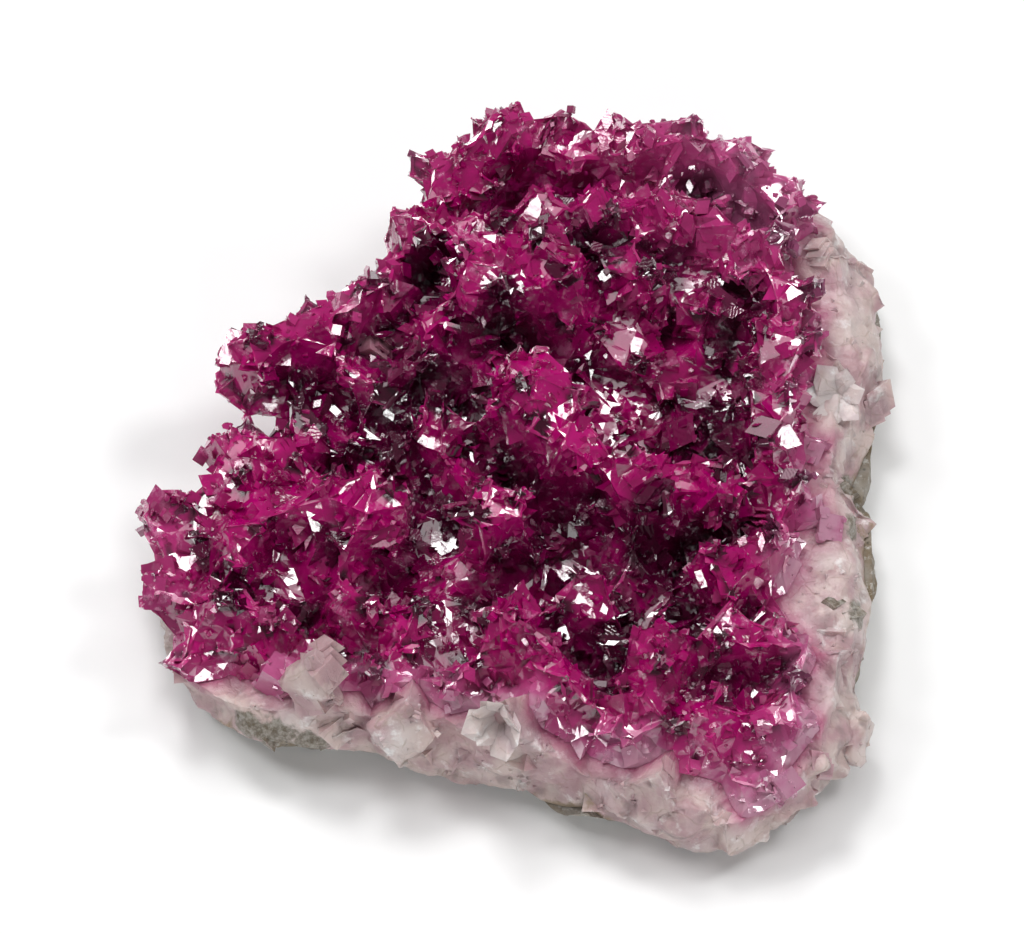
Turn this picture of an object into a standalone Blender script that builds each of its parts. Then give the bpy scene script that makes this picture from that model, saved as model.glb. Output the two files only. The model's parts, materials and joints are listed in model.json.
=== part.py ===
"""A hand-sized roselite specimen, lying on its back: a druse of deep magenta crystals on a band of
pale calcite, with the host rock left as a thin skin underneath.

Three solids, from the ground up: host_rock, calcite_band and roselite_druse. +X is the
specimen's right, +Y its far side and +Z up, and the origin is under the middle of its box.
Lengths below are in millimetres, and MM turns them into Blender's metres.
"""

import math
import random

import bmesh
import bpy
from mathutils import Euler, Matrix, Vector, noise

MM = 0.001

# Overall levels
FOOT_Z = 0.0
ROCK_WIDEST_Z = 3.2
ROCK_TOP_Z = 8.5
BAND_BOTTOM_Z = 1.0
BAND_WIDEST_Z = 6.0
BAND_TOP_Z = 15.0
DRUSE_FLOOR_Z = 2.0
DRUSE_BED_Z = 10.5
SEAM_GAP = 0.3

# Outlines seen from above, as (angle in degrees from +X, radius) round the middle of the specimen
DRUSE_OUTLINE = (
    (6, 32.0), (16, 33.5), (28, 37.0), (38, 40.5), (46, 43.0), (55, 43.0), (63, 43.0),
    (77, 41.0), (93, 41.0), (102, 38.5), (110, 33.5), (120, 28.5), (138, 27.5), (155, 30.5),
    (163, 27.5), (171, 26.5), (178, 30.5), (185, 33.0), (189, 38.0), (197, 40.5), (204, 41.0),
    (211, 41.0), (220, 39.0), (236, 34.0), (248, 31.0), (261, 30.0), (275, 33.5), (288, 37.5),
    (297, 42.5), (303, 46.0), (309, 46.0), (316, 42.5), (324, 38.0), (332, 33.8), (342, 31.0),
    (352, 31.5),
)
BAND_OUTLINE = (
    (0, 36.8), (12, 40.4), (24, 45.0), (33, 48.8), (41, 50.6), (48, 48.6), (55, 45.0),
    (62, 42.0), (77, 38.5), (90, 38.4), (99, 35.4), (108, 30.5), (122, 25.5), (140, 25.5),
    (158, 28.6), (168, 25.5), (180, 28.5), (188, 34.5), (196, 38.4), (204, 41.0), (211, 42.2),
    (219, 42.0), (227, 40.2), (236, 38.0), (245, 34.2), (254, 33.4), (262, 34.4), (270, 35.6),
    (278, 37.6), (285, 41.2), (292, 45.4), (299, 47.8), (306, 49.0), (313, 48.4), (321, 46.4),
    (330, 43.6), (339, 41.2), (349, 39.2),
)
ROCK_OUTLINE = (
    (0, 37.8), (14, 41.4), (24, 45.6), (34, 49.2), (41, 49.6), (50, 45.4), (62, 39.0),
    (77, 35.5), (92, 34.5), (108, 25.5), (124, 20.5), (142, 20.5), (160, 24.0), (180, 24.5),
    (196, 33.5), (208, 38.5), (219, 40.2), (228, 40.2), (236, 37.4), (246, 31.5), (260, 31.0),
    (272, 33.6), (281, 39.4), (290, 41.0), (300, 43.5), (310, 44.5), (320, 43.6), (329, 42.6),
    (338, 41.4), (349, 40.2),
)
RING_POINTS = 96

# Each lump of the druse: x, y, height of its top, radius
LUMPS = (
    # far ridge, from left to right
    (-6.5, 34.0, 20.5, 3.8), (-1.0, 38.5, 22.5, 4.0), (5.5, 37.5, 22.0, 3.6), (11.5, 37.5, 21.5, 3.6),
    (18.0, 37.5, 21.5, 3.6), (24.5, 37.0, 19.5, 3.8), (29.5, 32.0, 18.5, 3.8),
    # dome below the far ridge
    (-10.8, 27.5, 19.5, 3.6), (-4.0, 25.0, 22.0, 3.6), (3.5, 27.5, 22.5, 3.6), (9.5, 28.5, 22.0, 3.4),
    (15.5, 29.0, 21.5, 3.6), (21.0, 27.0, 20.5, 3.6), (27.0, 24.5, 19.5, 3.6), (4.0, 19.0, 25.0, 5.0),
    (-3.5, 18.5, 22.0, 3.6), (13.5, 21.5, 20.0, 3.6),
    # low ground in the valleys
    (19.0, 13.5, 13.0, 3.8), (12.5, 14.0, 15.0, 3.4), (18.5, 4.5, 14.0, 3.8), (12.5, -13.0, 13.0, 3.6),
    (-18.0, -12.0, 14.0, 3.4), (-5.5, -14.0, 14.0, 3.6), (-14.5, 1.0, 13.5, 3.4), (-1.5, 11.0, 16.0, 3.4),
    (-5.0, -3.0, 15.0, 3.4), (21.0, 19.5, 15.5, 3.4),
    # right-hand wall
    (30.0, 18.5, 18.5, 3.4), (28.5, 11.5, 20.5, 4.0), (27.5, 3.5, 21.5, 4.4), (28.5, -4.5, 18.5, 3.6),
    (27.0, -12.0, 18.0, 3.6),
    # middle knobs and the slopes between them
    (2.5, 4.5, 24.5, 5.2), (6.0, -1.0, 22.5, 4.0), (-8.5, 14.0, 19.0, 3.6), (-12.5, 20.5, 18.0, 3.0),
    (-8.0, 4.0, 16.5, 3.6), (-1.0, -9.0, 20.5, 4.0), (13.5, -6.0, 21.5, 4.6), (20.5, -5.5, 19.5, 3.8),
    (21.5, -15.0, 19.0, 3.8), (-14.5, -7.0, 19.5, 4.4),
    # left lobe and its prow
    (-28.0, 12.5, 18.5, 4.2), (-21.5, 15.0, 18.5, 3.8), (-17.0, 19.0, 17.5, 3.4), (-16.0, 9.5, 16.0, 3.6),
    (-29.0, 2.5, 15.5, 3.6), (-22.0, 2.0, 15.5, 3.4), (-22.5, -5.0, 17.5, 4.0), (-30.0, -3.0, 15.5, 3.6),
    (-36.8, -6.0, 14.2, 3.8), (-29.0, -10.5, 16.5, 4.0), (-36.5, -14.5, 13.0, 3.4),
    (-30.5, -17.5, 15.5, 3.8), (-33.5, -21.5, 11.5, 3.2), (-25.0, -20.5, 14.0, 3.6),
    # front slope down to the rim
    (-17.5, -17.5, 14.5, 3.6), (-10.5, -19.0, 14.5, 3.6), (8.0, -18.5, 18.5, 3.6), (0.0, -22.5, 19.5, 4.0),
    (-13.0, -25.0, 14.5, 3.2), (-5.5, -27.0, 15.5, 3.4), (5.5, -28.0, 18.0, 3.8), (15.0, -25.0, 19.0, 4.2),
    (23.0, -22.5, 17.5, 3.8), (28.5, -23.5, 16.0, 3.4), (12.5, -32.0, 16.0, 3.8), (20.5, -32.0, 16.5, 4.0),
    (28.0, -31.0, 15.5, 3.8), (25.5, -37.5, 12.0, 3.4), (-19.5, -25.5, 12.5, 2.8),
)
LUMP_SINK = 0.45

# Where the seams rise above or dip below their even course: x, y, height, reach
CALCITE_DIPS = (
    (24.0, -39.0, -4.5, 7.0), (9.0, -35.0, -3.0, 5.0), (-31.0, -23.0, -4.5, 8.0),
    (-37.0, -13.0, -4.0, 7.0), (-12.0, -29.0, -3.0, 4.5),
    (-29.0, 8.0, -3.0, 7.0), (16.0, -36.0, 1.0, 3.5),
)
ROCK_RISES = (
    (40.0, -10.0, 4.5, 9.0), (40.0, 6.0, 2.6, 7.0), (36.0, 30.0, 3.0, 7.0), (38.0, -22.0, 3.6, 6.0),
    (-23.0, -29.0, 4.6, 5.5), (7.5, -38.0, 3.6, 2.6), (20.0, -43.0, -2.5, 9.0),
    (-8.0, -32.0, -2.5, 6.0), (-37.0, -20.0, -2.0, 5.0), (0.0, 38.0, 3.0, 14.0),
)
CALCITE_SEAM_MIDDLE = 5.5
CALCITE_SEAM_EDGE = 11.5
SEAM_BOWL_START = 0.55
ROCK_SEAM_EVEN = 2.6
SEAM_CELL = 5.2
SEAM_REACH = 60.0
CUTTER_DEPTH = 45.0

# Pale calcite points through the edge of the druse: x, y, tip height, width, lean to +X, lean to +Y
CALCITE_POINTS = (
    (-20.3, -26.8, 17.6, 7.0, 0.05, 0.02),
    (-10.6, -30.8, 15.0, 7.4, 0.10, -0.10),
    (-0.8, -31.6, 17.4, 6.6, -0.15, -0.05),
    (35.2, 12.0, 14.5, 7.5, 0.30, 0.00),
    (35.8, 25.5, 15.0, 9.0, 0.25, 0.10),
    (34.2, -24.0, 14.0, 6.5, 0.20, -0.10),
    (15.0, -38.2, 13.5, 8.0, 0.00, -0.20),
)
POINT_BASE_Z = 4.0

# Crystal sizes, as smallest and largest
DRUSE_CRYSTAL_WIDTH = (2.8, 4.6)
DRUSE_CRYSTAL_STEEPNESS = (1.1, 1.6)
DRUSE_CRYSTAL_SPACING = 4.8
DRUSE_CRYSTAL_SHOWS = (0.34, 0.46)
DRUSE_CRYSTALS_AT_MOST = 190
CALCITE_BLOCK_WIDTH = (5.5, 8.5)
CALCITE_BLOCK_STEEPNESS = (0.85, 1.2)
CALCITE_BLOCK_SPACING = 6.5
CALCITE_BLOCK_SHOWS = (0.14, 0.22)
CALCITE_BLOCKS_AT_MOST = 34
CRYSTAL_TILT = math.radians(26)

# Mesh fineness
LUMP_VOXEL = 1.1
BODY_VOXEL = 1.5
DRUSE_BED_TRIANGLES = 850
CALCITE_TRIANGLES = 900
ROCK_TRIANGLES = 460

SEED = 11

MATERIALS = {
    "host_rock": ((0.36, 0.32, 0.25), 0.85),
    "calcite_band": ((0.62, 0.47, 0.46), 0.35),
    "roselite_druse": ((0.23, 0.006, 0.07), 0.12),
}


def clear_scene():
    for obj in list(bpy.data.objects):
        bpy.data.objects.remove(obj, do_unlink=True)


def make_collection(name):
    collection = bpy.data.collections.new(name)
    bpy.context.scene.collection.children.link(collection)
    return collection


def make_material(name):
    colour, roughness = MATERIALS[name]
    material = bpy.data.materials.new(name)
    material.use_nodes = True
    shader = material.node_tree.nodes["Principled BSDF"]
    shader.inputs["Base Color"].default_value = (*colour, 1.0)
    shader.inputs["Roughness"].default_value = roughness
    shader.inputs["Metallic"].default_value = 0.0
    return material


def object_from(name, shape, collection):
    """Turns a bmesh in millimetres into an object in metres, and frees the bmesh."""
    bmesh.ops.scale(shape, vec=(MM, MM, MM), verts=shape.verts)
    bmesh.ops.recalc_face_normals(shape, faces=shape.faces)
    mesh = bpy.data.meshes.new(name)
    shape.to_mesh(mesh)
    shape.free()
    obj = bpy.data.objects.new(name, mesh)
    collection.objects.link(obj)
    return obj


def radius_at(outline, angle):
    """The outline's radius at an angle in degrees, eased between the points on either side."""
    angle %= 360
    points = [(outline[-1][0] - 360, outline[-1][1]), *outline, (outline[0][0] + 360, outline[0][1])]
    for (low, near), (high, far) in zip(points, points[1:]):
        if low <= angle <= high:
            share = (angle - low) / (high - low)
            return near + (far - near) * (3 - 2 * share) * share * share
    return outline[0][1]


def loft(rings):
    """A closed bmesh through flat rings, each given as outline, inset and height."""
    shape = bmesh.new()
    loops = []
    for outline, inset, height in rings:
        verts = []
        for step in range(RING_POINTS):
            turn = 360 * step / RING_POINTS
            radius = radius_at(outline, turn) - inset
            place = Matrix.Rotation(math.radians(turn), 3, "Z") @ Vector((radius, 0, 0))
            verts.append(shape.verts.new(place + Vector((0, 0, height))))
        loops.append([shape.edges.new((verts[i - 1], verts[i])) for i in range(RING_POINTS)])
    for lower, upper in zip(loops, loops[1:]):
        bmesh.ops.bridge_loops(shape, edges=lower + upper)
    for end in (loops[0], loops[-1]):
        bmesh.ops.holes_fill(shape, edges=end, sides=0)
    return shape


def calcite_seam(x, y):
    """Height of the surface that the druse grew on: a bowl whose edge is the calcite band's top."""
    angle = math.degrees(math.atan2(y, x))
    share = math.hypot(x, y) / radius_at(DRUSE_OUTLINE, angle)
    rise = min(max((share - SEAM_BOWL_START) / (1 - SEAM_BOWL_START), 0.0), 1.0)
    rise = rise * rise * (3 - 2 * rise)
    height = CALCITE_SEAM_MIDDLE + (CALCITE_SEAM_EDGE - CALCITE_SEAM_MIDDLE) * rise
    return height + swells(CALCITE_DIPS, x, y) + 0.6 * noise.noise(Vector((x, y, 5.0)) / 4.0)


def rock_seam(x, y):
    """Height of the surface between the host rock and the calcite."""
    return ROCK_SEAM_EVEN + swells(ROCK_RISES, x, y) + 0.7 * noise.noise(Vector((x, y, 21.0)) / 3.5)


def ground(x, y):
    """Height of the flat cut that the specimen lies on, less the half gap that the cutter reaches up."""
    return FOOT_Z - SEAM_GAP / 2


def swells(listed, x, y):
    """The height that listed rises and dips add at a place."""
    total = 0.0
    for centre_x, centre_y, height, reach in listed:
        distance = math.hypot(x - centre_x, y - centre_y) / reach
        total += height * math.exp(-distance * distance)
    return total


def seam_cutter(name, seam, side, collection):
    """A deep block that takes away what lies above the seam (side 1) or below it (side -1).

    It reaches half the gap across the seam, so the pieces on the two sides never touch.
    """
    shape = bmesh.new()
    cells = round(2 * SEAM_REACH / SEAM_CELL)
    bmesh.ops.create_grid(shape, x_segments=cells, y_segments=cells, size=SEAM_REACH)
    for vert in shape.verts:
        vert.co.z = seam(vert.co.x, vert.co.y) - side * SEAM_GAP / 2
    far_side = bmesh.ops.extrude_face_region(shape, geom=shape.faces[:])["geom"]
    moved = [item for item in far_side if isinstance(item, bmesh.types.BMVert)]
    bmesh.ops.translate(shape, vec=(0, 0, side * CUTTER_DEPTH), verts=moved)
    bmesh.ops.triangulate(shape, faces=shape.faces)
    cutter = object_from(name, shape, collection)
    cutter.hide_render = True
    cutter.display_type = "WIRE"
    return cutter


def add_modifier(obj, kind, **settings):
    modifier = obj.modifiers.new(kind.title(), kind)
    for name, value in settings.items():
        setattr(modifier, name, value)
    return modifier


def cloud_texture(kind, size):
    texture = bpy.data.textures.new(f"{kind.title()} {size:g}", kind)
    texture.noise_scale = size * MM
    return texture


def freeze(obj):
    """Swaps the object's mesh for its evaluated one and clears its modifiers."""
    bpy.context.view_layer.update()
    evaluated = obj.evaluated_get(bpy.context.evaluated_depsgraph_get())
    mesh = bpy.data.meshes.new_from_object(evaluated)
    obj.modifiers.clear()
    obj.data = mesh


def keep_main_body(obj):
    """Drops every loose chip and sealed bubble, so that one closed body is left."""
    shape = bmesh.new()
    shape.from_mesh(obj.data)
    left, bodies = set(shape.verts), []
    while left:
        body, edge_of_search = set(), [left.pop()]
        while edge_of_search:
            vert = edge_of_search.pop()
            body.add(vert)
            for edge in vert.link_edges:
                other = edge.other_vert(vert)
                if other in left:
                    left.discard(other)
                    edge_of_search.append(other)
        bodies.append(body)
    bodies.sort(key=len)
    for body in bodies[:-1]:
        bmesh.ops.delete(shape, geom=list(body), context="VERTS")
    shape.to_mesh(obj.data)
    shape.free()


def roughened(obj, voxel, triangles, coarse, fine):
    """Remeshes a loft evenly, gives it coarse and fine relief, and thins it to about so many triangles."""
    add_modifier(obj, "REMESH", mode="VOXEL", voxel_size=voxel * MM)
    for kind, size, strength in (coarse, fine):
        texture = cloud_texture(kind, size)
        add_modifier(obj, "DISPLACE", texture=texture, strength=strength * MM, mid_level=0.5)
    freeze(obj)
    thin(obj, triangles)


def thin(obj, triangles):
    shape = bmesh.new()
    shape.from_mesh(obj.data)
    bmesh.ops.triangulate(shape, faces=shape.faces)
    count = len(shape.faces)
    shape.to_mesh(obj.data)
    shape.free()
    add_modifier(obj, "DECIMATE", decimate_type="COLLAPSE", ratio=min(1.0, triangles / count))
    freeze(obj)


def boolean(obj, operation, other):
    """Cuts or joins obj with other, and removes other."""
    add_modifier(obj, "BOOLEAN", operation=operation, object=other, solver="EXACT", use_self=True)
    freeze(obj)
    bpy.data.objects.remove(other)


def add_rhomb(shape, place, axis, width, steepness, spin, rng):
    """Adds one crystal: a cube stood on its corner and stretched along that diagonal, uneven as grown."""
    corner_up = Vector((1, 1, 1)).rotation_difference(Vector((0, 0, 1))).to_matrix().to_4x4()
    uneven = Matrix.Diagonal((rng.uniform(0.72, 1.15), rng.uniform(0.72, 1.15), 1.0, 1.0))
    stretch = Matrix.Diagonal((1.0, 1.0, steepness, 1.0))
    turn = axis.to_track_quat("Z", "Y").to_matrix().to_4x4() @ Matrix.Rotation(spin, 4, "Z")
    side = width / math.sqrt(2)
    matrix = Matrix.Translation(place) @ turn @ stretch @ uneven @ corner_up
    bmesh.ops.create_cube(shape, size=side, matrix=matrix)


def spots_on(obj, spacing, at_most, wanted, rng):
    """Points on the object's surface at least so far apart, each with its outward direction."""
    mesh = obj.data
    faces = [face for face in mesh.polygons if wanted(face.center / MM, face.normal)]
    areas = [face.area for face in faces]
    spots = []
    for face in rng.choices(faces, weights=areas, k=at_most * 60):
        corners = [mesh.vertices[i].co / MM for i in face.vertices]
        a, b = sorted((rng.random(), rng.random()))
        place = corners[0] * a + corners[1] * (b - a) + corners[2] * (1 - b)
        if len(spots) < at_most and all((place - other).length > spacing for other, _ in spots):
            spots.append((place, face.normal.copy()))
    return spots


def tilted(direction, upward, tilt, rng):
    """The direction leaned upward by a share, then knocked off line at random."""
    axis = (direction + Vector((0, 0, upward))).normalized()
    knock = Euler((rng.uniform(-tilt, tilt), rng.uniform(-tilt, tilt), 0))
    turn = axis.to_track_quat("Z", "Y")
    return turn @ (knock.to_matrix() @ Vector((0, 0, 1)))


def crystals_on(obj, spots, widths, steepness, shows, upward, rng, collection):
    """One mesh of crystals, one from each spot on the object, of whose length a share shows."""
    shape = bmesh.new()
    for place, normal in spots:
        axis = tilted(normal, upward, CRYSTAL_TILT, rng)
        width = rng.uniform(*widths)
        steep = rng.uniform(*steepness)
        length = width * steep * math.sqrt(3) / math.sqrt(2)
        centre = place + axis * length * (rng.uniform(*shows) - 0.5)
        add_rhomb(shape, centre, axis, width, steep, rng.uniform(0, math.tau), rng)
    return object_from(f"{obj.name} crystals", shape, collection)


def calcite_points(grown_by, collection):
    """The pale points at the druse's edge, larger all round by grown_by where they serve as a cutter."""
    shape = bmesh.new()
    rng = random.Random(SEED + 2)
    for x, y, tip, width, lean_x, lean_y in CALCITE_POINTS:
        axis = Vector((lean_x, lean_y, 1)).normalized()
        length = tip - POINT_BASE_Z
        centre = Vector((x, y, tip)) - axis * length / 2
        wide = width + 2 * grown_by
        steep = (length + 2 * grown_by) / (wide * math.sqrt(3) / math.sqrt(2))
        add_rhomb(shape, centre, axis, wide, steep, x, rng)
    return object_from("calcite points", shape, collection)


def build_host_rock(collection, cutters):
    rings = (
        (ROCK_OUTLINE, 7.0, FOOT_Z - 1.5),
        (ROCK_OUTLINE, 3.0, FOOT_Z + 0.6),
        (ROCK_OUTLINE, 0.0, ROCK_WIDEST_Z),
        (ROCK_OUTLINE, 1.2, ROCK_TOP_Z),
    )
    rock = object_from("host_rock", loft(rings), collection)
    roughened(rock, BODY_VOXEL, ROCK_TRIANGLES, ("CLOUDS", 9.0, 2.2), ("VORONOI", 4.5, 1.4))
    boolean(rock, "DIFFERENCE", seam_cutter("rock seam", rock_seam, 1, cutters))
    boolean(rock, "DIFFERENCE", seam_cutter("ground", ground, -1, cutters))
    keep_main_body(rock)
    return rock


def build_calcite_band(collection, cutters, rng):
    rings = (
        (BAND_OUTLINE, 5.0, BAND_BOTTOM_Z - 1.2),
        (BAND_OUTLINE, 1.0, BAND_BOTTOM_Z + 1.0),
        (BAND_OUTLINE, 0.4, BAND_WIDEST_Z),
        (BAND_OUTLINE, 2.2, BAND_WIDEST_Z + 4.0),
        (DRUSE_OUTLINE, 0.6, BAND_TOP_Z),
    )
    band = object_from("calcite_band", loft(rings), collection)
    roughened(band, BODY_VOXEL, CALCITE_TRIANGLES, ("CLOUDS", 7.0, 1.6), ("VORONOI", 5.0, 1.2))

    def on_the_wall(place, normal):
        return abs(normal.z) < 0.85 and 3.0 < place.z < BAND_TOP_Z - 1.5

    spots = spots_on(band, CALCITE_BLOCK_SPACING, CALCITE_BLOCKS_AT_MOST, on_the_wall, rng)
    blocks = crystals_on(
        band, spots, CALCITE_BLOCK_WIDTH, CALCITE_BLOCK_STEEPNESS, CALCITE_BLOCK_SHOWS, 0.3, rng, cutters
    )
    boolean(band, "UNION", blocks)
    boolean(band, "DIFFERENCE", seam_cutter("calcite seam", calcite_seam, 1, cutters))
    boolean(band, "UNION", calcite_points(0.0, cutters))
    boolean(band, "DIFFERENCE", seam_cutter("rock seam", rock_seam, -1, cutters))
    keep_main_body(band)
    return band


def build_druse(collection, cutters, rng):
    shape = loft((
        (DRUSE_OUTLINE, 4.0, DRUSE_FLOOR_Z),
        (DRUSE_OUTLINE, 1.6, CALCITE_SEAM_EDGE - 3.0),
        (DRUSE_OUTLINE, 2.6, DRUSE_BED_Z + 1.0),
        (DRUSE_OUTLINE, 9.0, DRUSE_BED_Z - 1.0),
    ))
    for x, y, top, radius in LUMPS:
        centre = Vector((x, y, top - radius))
        for level in (0.0, LUMP_SINK * radius, 2 * LUMP_SINK * radius):
            matrix = Matrix.Translation(centre - Vector((0, 0, 2 * level)))
            bmesh.ops.create_icosphere(shape, subdivisions=2, radius=radius + 0.3 * level, matrix=matrix)
    druse = object_from("roselite_druse", shape, collection)
    add_modifier(druse, "REMESH", mode="VOXEL", voxel_size=LUMP_VOXEL * MM)
    add_modifier(druse, "SMOOTH", factor=0.5, iterations=2)
    freeze(druse)
    thin(druse, DRUSE_BED_TRIANGLES)

    def open_face(place, normal):
        return normal.z > -0.25 and place.z > calcite_seam(place.x, place.y) + 0.5

    spots = spots_on(druse, DRUSE_CRYSTAL_SPACING, DRUSE_CRYSTALS_AT_MOST, open_face, rng)
    crystals = crystals_on(
        druse, spots, DRUSE_CRYSTAL_WIDTH, DRUSE_CRYSTAL_STEEPNESS, DRUSE_CRYSTAL_SHOWS, 0.3, rng, cutters
    )
    boolean(druse, "UNION", crystals)
    boolean(druse, "DIFFERENCE", seam_cutter("calcite seam", calcite_seam, -1, cutters))
    boolean(druse, "DIFFERENCE", calcite_points(SEAM_GAP, cutters))
    keep_main_body(druse)
    return druse


def centre_on_origin(parts, collection):
    """Hangs the parts on an empty, placed so that the origin is under the middle of their box."""
    corners = [vert.co for part in parts for vert in part.data.vertices]
    low = [min(corner[i] for corner in corners) for i in range(3)]
    high = [max(corner[i] for corner in corners) for i in range(3)]
    holder = bpy.data.objects.new("specimen", None)
    holder.empty_display_size = 10 * MM
    holder.location = (-(low[0] + high[0]) / 2, -(low[1] + high[1]) / 2, -low[2])
    collection.objects.link(holder)
    for part in parts:
        part.parent = holder


def main():
    clear_scene()
    specimen = make_collection("roselite specimen")
    cutters = make_collection("cutters")
    cutters.hide_render = True
    rock = build_host_rock(specimen, cutters)
    band = build_calcite_band(specimen, cutters, random.Random(SEED))
    druse = build_druse(specimen, cutters, random.Random(SEED + 1))
    parts = (rock, band, druse)
    centre_on_origin(parts, specimen)
    for part in parts:
        part.data.materials.clear()
        part.data.materials.append(make_material(part.name))


main()
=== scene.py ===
"""Dresses the roselite specimen: magenta crystals on its druse, milky calcite and rough host rock."""

import json
import logging
import math
import random
from dataclasses import dataclass, field
from enum import Enum

import bmesh
import bpy
from mathutils import Matrix, Vector, noise
from mathutils.bvhtree import BVHTree
from mathutils.kdtree import KDTree

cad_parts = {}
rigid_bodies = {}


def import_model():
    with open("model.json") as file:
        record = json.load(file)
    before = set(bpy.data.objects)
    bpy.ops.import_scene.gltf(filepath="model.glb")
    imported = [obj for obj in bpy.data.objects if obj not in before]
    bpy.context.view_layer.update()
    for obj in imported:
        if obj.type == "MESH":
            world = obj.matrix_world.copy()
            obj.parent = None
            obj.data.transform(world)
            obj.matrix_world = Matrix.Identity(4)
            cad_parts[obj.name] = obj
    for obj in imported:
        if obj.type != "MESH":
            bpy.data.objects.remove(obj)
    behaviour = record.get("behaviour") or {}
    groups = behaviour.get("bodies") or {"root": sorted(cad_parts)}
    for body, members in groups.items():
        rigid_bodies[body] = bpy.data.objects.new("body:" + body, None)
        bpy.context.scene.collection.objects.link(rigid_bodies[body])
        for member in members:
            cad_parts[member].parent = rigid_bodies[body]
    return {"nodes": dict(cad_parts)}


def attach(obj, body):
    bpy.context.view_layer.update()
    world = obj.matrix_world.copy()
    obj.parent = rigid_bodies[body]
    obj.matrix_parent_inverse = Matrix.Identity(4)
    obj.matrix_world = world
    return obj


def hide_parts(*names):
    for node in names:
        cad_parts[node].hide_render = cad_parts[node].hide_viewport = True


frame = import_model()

MM = 0.001
NOISE_SEED = 7
# Nothing grows on a face nearer the ground than this, or where its normal's height or that normal's
# agreement with the neighbour's is below these.
NEAR_GROUND = 0.4 * MM
LOOKS_DOWN = -0.45
FACES_NEIGHBOUR = -0.3
LOG = logging.getLogger("specimen")


class Wire:
    """The value on one node socket, with the usual operators for maths on it."""

    def __init__(self, board: "Board", socket: bpy.types.NodeSocket) -> None:
        """Keeps the output socket that carries the value and the board that its node is on."""
        self.board = board
        self.socket = socket

    def maths(self, operation: str, *values: "Wire | float", clamp: bool = False) -> "Wire":
        """The result of one Math node on the values, kept between 0 and 1 if that is asked."""
        settings = {"operation": operation, "use_clamp": clamp}
        return self.board.add("ShaderNodeMath", settings, dict(enumerate(values)))

    def __add__(self, other: "Wire | float") -> "Wire":
        """The sum."""
        return self.maths("ADD", self, other)

    __radd__ = __add__

    def __sub__(self, other: "Wire | float") -> "Wire":
        """The difference."""
        return self.maths("SUBTRACT", self, other)

    def __rsub__(self, other: float) -> "Wire":
        """The difference the other way round."""
        return self.maths("SUBTRACT", other, self)

    def __mul__(self, other: "Wire | float") -> "Wire":
        """The product."""
        return self.maths("MULTIPLY", self, other)

    __rmul__ = __mul__

    def __truediv__(self, other: "Wire | float") -> "Wire":
        """The quotient."""
        return self.maths("DIVIDE", self, other)

    def __rtruediv__(self, other: float) -> "Wire":
        """The quotient the other way round."""
        return self.maths("DIVIDE", other, self)

    def __gt__(self, other: "Wire | float") -> "Wire":
        """1 where this is the larger, else 0."""
        return self.maths("GREATER_THAN", self, other)

    def __lt__(self, other: float) -> "Wire":
        """1 where this is the smaller, else 0."""
        return self.maths("LESS_THAN", self, other)

    def sine(self) -> "Wire":
        """The sine of the value."""
        return self.maths("SINE", self)

    def clamped(self) -> "Wire":
        """The value kept between 0 and 1."""
        return self.maths("ADD", self, 0.0, clamp=True)

    def ramp(self, low: float, high: float) -> "Wire":
        """A smooth step from 0 at low to 1 at high."""
        inputs = {"Value": self, "From Min": low, "From Max": high}
        return self.board.add("ShaderNodeMapRange", {"interpolation_type": "SMOOTHSTEP"}, inputs)

    def dot(self, other: "Wire") -> "Wire":
        """The dot product of this vector and another."""
        return self.vector("DOT_PRODUCT", other, output="Value")

    def vector(self, operation: str, *values: object, output: str = "Vector") -> "Wire":
        """Adds one Vector Math node that works on this vector.

        Args:
            operation: the node's operation.
            values: the inputs after this one; a number goes to Scale.
            output: the name of the result's socket.

        Returns:
            The node's result.
        """
        inputs = {0: self}
        for place, value in enumerate(values, 1):
            inputs["Scale" if operation == "SCALE" else place] = value
        return self.board.add("ShaderNodeVectorMath", {"operation": operation}, inputs, output)


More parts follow.
